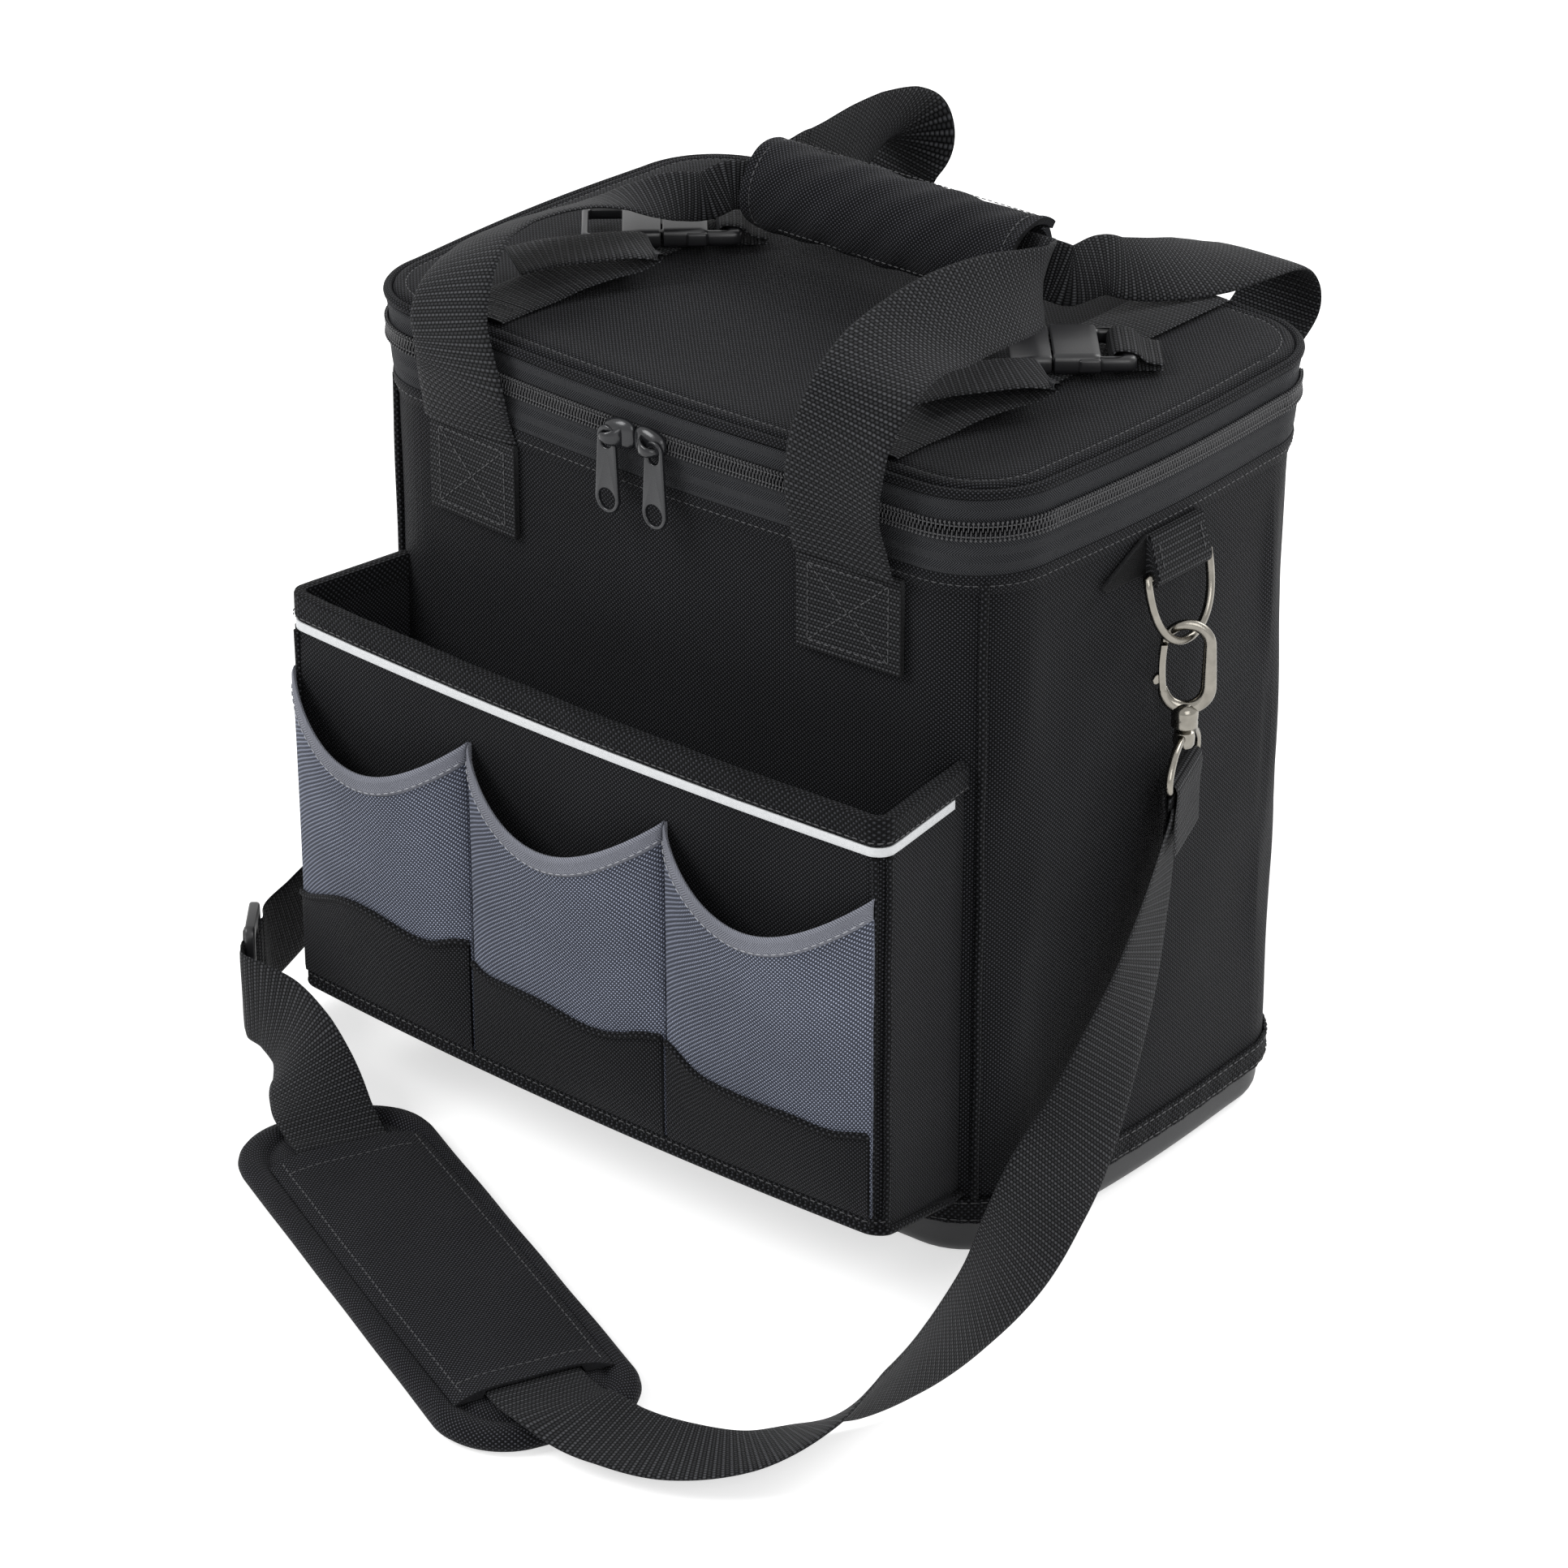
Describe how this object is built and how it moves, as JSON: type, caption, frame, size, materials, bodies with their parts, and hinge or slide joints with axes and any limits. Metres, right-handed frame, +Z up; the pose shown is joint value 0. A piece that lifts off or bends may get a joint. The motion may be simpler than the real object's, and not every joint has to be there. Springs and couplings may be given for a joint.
{
  "type": "zippered tool bag",
  "caption": "Box-shaped fabric tool bag on a moulded tray with a zipped lid, front pockets, webbing carry handles with a padded grip and a shoulder strap.",
  "frame": {"origin": "centre of the tray's flat underside", "axes": "+Z up, -Y towards the front with the pockets and zip sliders, +X to the right seen from the front"},
  "size_m": [0.4183, 0.4933, 0.3902],
  "materials": {
    "body_fabric": "fine black polyester weave",
    "webbing": "ribbed black webbing",
    "binding": "black binding tape",
    "patch_fabric": "blue-grey polyester weave",
    "lining_fabric": "thin lining cloth",
    "reflective_tape": "white reflective tape",
    "tray_plastic": "dark moulded plastic",
    "board": "stiff base board",
    "buckle_plastic": "glossy black acetal",
    "black_metal": "glossy black enamel",
    "nickel": "satin nickel"
  },
  "bodies": {
    "bag": {"base_tray": "tray_plastic", "base_board": "board", "body_lining": "lining_fabric", "base_seam_tape": "binding", "right_panel": "body_fabric", "back_panel": "body_fabric", "left_panel": "body_fabric", "front_panel": "body_fabric", "front_right_piping": "binding", "front_left_piping": "binding", "zip_lower_half": "binding", "lid_hinge_tape": "binding", "front_pocket_wall": "body_fabric", "front_pocket_binding": "binding", "reflective_strip": "reflective_tape", "patch_pocket_left": "patch_fabric", "patch_pocket_middle": "patch_fabric", "patch_pocket_right": "patch_fabric", "patch_pocket_base_left": "body_fabric", "patch_pocket_base_middle": "body_fabric", "patch_pocket_base_right": "body_fabric", "front_handle_end_left": "webbing", "front_handle_end_right": "webbing", "back_handle_end_left": "webbing", "back_handle_end_right": "webbing", "ring_tab_left": "webbing", "ring_tab_right": "webbing", "shoulder_strap_long": "webbing", "shoulder_strap_short": "webbing", "shoulder_pad": "body_fabric", "pad_sleeve": "body_fabric", "strap_adjuster": "buckle_plastic"},
    "lid": {"zip_upper_half": "binding", "lid_band": "body_fabric", "lid_panel": "body_fabric", "lid_welt": "binding", "lid_strap_front_left": "webbing", "lid_strap_front_right": "webbing", "lid_strap_rear_left": "webbing", "lid_strap_rear_right": "webbing", "buckle_prong_left": "buckle_plastic", "buckle_prong_right": "buckle_plastic"},
    "socket_left": {"buckle_socket_left": "buckle_plastic"},
    "socket_right": {"buckle_socket_right": "buckle_plastic"},
    "front_carry_handle": {"front_handle": "webbing", "grip_flap": "body_fabric"},
    "back_carry_handle": {"back_handle": "webbing", "grip_pad": "body_fabric"},
    "slider_left": {"zip_slider_left": "black_metal"},
    "slider_right": {"zip_slider_right": "black_metal"},
    "pull_left": {"zip_pull_left": "black_metal"},
    "pull_right": {"zip_pull_right": "black_metal"},
    "clip_left": {"d_ring_left": "nickel", "snap_hook_left": "nickel"},
    "clip_right": {"d_ring_right": "nickel", "snap_hook_right": "nickel"},
    "gate_left": {"hook_gate_left": "nickel"},
    "gate_right": {"hook_gate_right": "nickel"},
    "eye_left": {"swivel_eye_left": "nickel"},
    "eye_right": {"swivel_eye_right": "nickel"}
  },
  "joints": [
    {"name": "lid_hinge", "type": "hinge", "parent": "bag", "child": "lid", "pos_m": [0, 0.1139, 0.3188], "axis": [-1, 0, 0], "range_deg": [0, 45.5]},
    {"name": "front_handle_hinge", "type": "hinge", "parent": "bag", "child": "front_carry_handle", "pos_m": [0, -0.1127, 0.2925], "axis": [1, 0, 0], "range_deg": [0, 137]},
    {"name": "back_handle_hinge", "type": "hinge", "parent": "bag", "child": "back_carry_handle", "pos_m": [0, 0.1127, 0.2925], "axis": [-1, 0, 0], "range_deg": [0, 100]},
    {"name": "zip_slide_left", "type": "slide", "parent": "bag", "child": "slider_left", "axis": [-1, 0, 0], "range_m": [0, 0.046]},
    {"name": "pull_swing_left", "type": "hinge", "parent": "slider_left", "child": "pull_left", "pos_m": [-0.015, -0.1203, 0.3201], "axis": [-1, 0, 0], "range_deg": [0, 100]},
    {"name": "buckle_release_left", "type": "slide", "parent": "lid", "child": "socket_left", "axis": [0.7431, 0.6691, 0], "range_m": [0, 0.022]},
    {"name": "zip_slide_right", "type": "slide", "parent": "bag", "child": "slider_right", "axis": [1, 0, 0], "range_m": [0, 0.056]},
    {"name": "pull_swing_right", "type": "hinge", "parent": "slider_right", "child": "pull_right", "pos_m": [0.0095, -0.1203, 0.3201], "axis": [-1, 0, 0], "range_deg": [0, 100]},
    {"name": "buckle_release_right", "type": "slide", "parent": "lid", "child": "socket_right", "axis": [0.7431, 0.6691, 0], "range_m": [0, 0.022]},
    {"name": "ring_swing_left", "type": "hinge", "parent": "bag", "child": "clip_left", "pos_m": [-0.1706, 0.001, 0.276], "axis": [0, 1, 0], "range_deg": [0, 40]},
    {"name": "gate_snap_left", "type": "hinge", "parent": "clip_left", "child": "gate_left", "pos_m": [-0.16975, -0.00459, 0.22641], "axis": [-0.6428, -0.766, 0], "range_deg": [0, 25], "stiffness_Nm_per_rad": 0.01, "springref_deg": -20.05},
    {"name": "hook_swivel_left", "type": "hinge", "parent": "clip_left", "child": "eye_left", "pos_m": [-0.17642, 0.001, 0.199], "axis": [0, 0, -1], "range_deg": [-43, 3]},
    {"name": "ring_swing_right", "type": "hinge", "parent": "bag", "child": "clip_right", "pos_m": [0.1706, 0.001, 0.276], "axis": [0, -1, 0], "range_deg": [0, 40]},
    {"name": "gate_snap_right", "type": "hinge", "parent": "clip_right", "child": "gate_right", "pos_m": [0.16975, -0.00459, 0.22641], "axis": [-0.6428, 0.766, 0], "range_deg": [0, 25], "stiffness_Nm_per_rad": 0.01, "springref_deg": -20.05},
    {"name": "hook_swivel_right", "type": "hinge", "parent": "clip_right", "child": "eye_right", "pos_m": [0.17642, 0.001, 0.199], "axis": [0, 0, 1], "range_deg": [-43, 3]}
  ],
  "couplings": [
    {"joint": "front_handle_hinge", "follows": "lid_hinge", "ratio": 3},
    {"joint": "back_handle_hinge", "follows": "lid_hinge", "ratio": 1.3}
  ]
}
